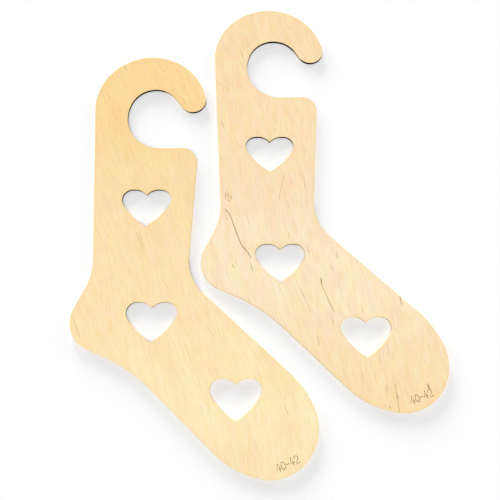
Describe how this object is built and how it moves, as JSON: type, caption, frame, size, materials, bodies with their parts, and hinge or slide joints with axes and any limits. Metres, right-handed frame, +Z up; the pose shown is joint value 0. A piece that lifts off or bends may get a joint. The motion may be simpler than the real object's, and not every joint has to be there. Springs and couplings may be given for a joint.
{
  "type": "sock stretcher",
  "caption": "Flat plywood sock stretchers with open hanging hooks, heart cut-outs and size numbers, laid side by side, for shaping and drying knitted socks.",
  "frame": {"origin": "on the table under the middle of the pair, seen from above", "axes": "+X to the right and +Y up towards the hooks, as seen from above with the size numbers upright enough to read; +Z up out of the table"},
  "size_m": [0.3604, 0.483, 0.003],
  "materials": {
    "face_veneer": "bare sanded birch veneer with a heat-tanned rim",
    "core_veneer": "birch core veneer, charred brown on the laser-cut wall",
    "back_veneer": "bare sanded birch veneer"
  },
  "bodies": {
    "left_blocker": {"left_back_veneer": "back_veneer", "left_core_veneer": "core_veneer", "left_face_veneer": "face_veneer"},
    "right_blocker": {"right_back_veneer": "back_veneer", "right_core_veneer": "core_veneer", "right_face_veneer": "face_veneer"}
  },
  "joints": [
    {"name": "right_blocker_lift", "type": "slide", "parent": "left_blocker", "child": "right_blocker", "axis": [0, 0, 1], "range_m": [0, 0.1]}
  ]
}
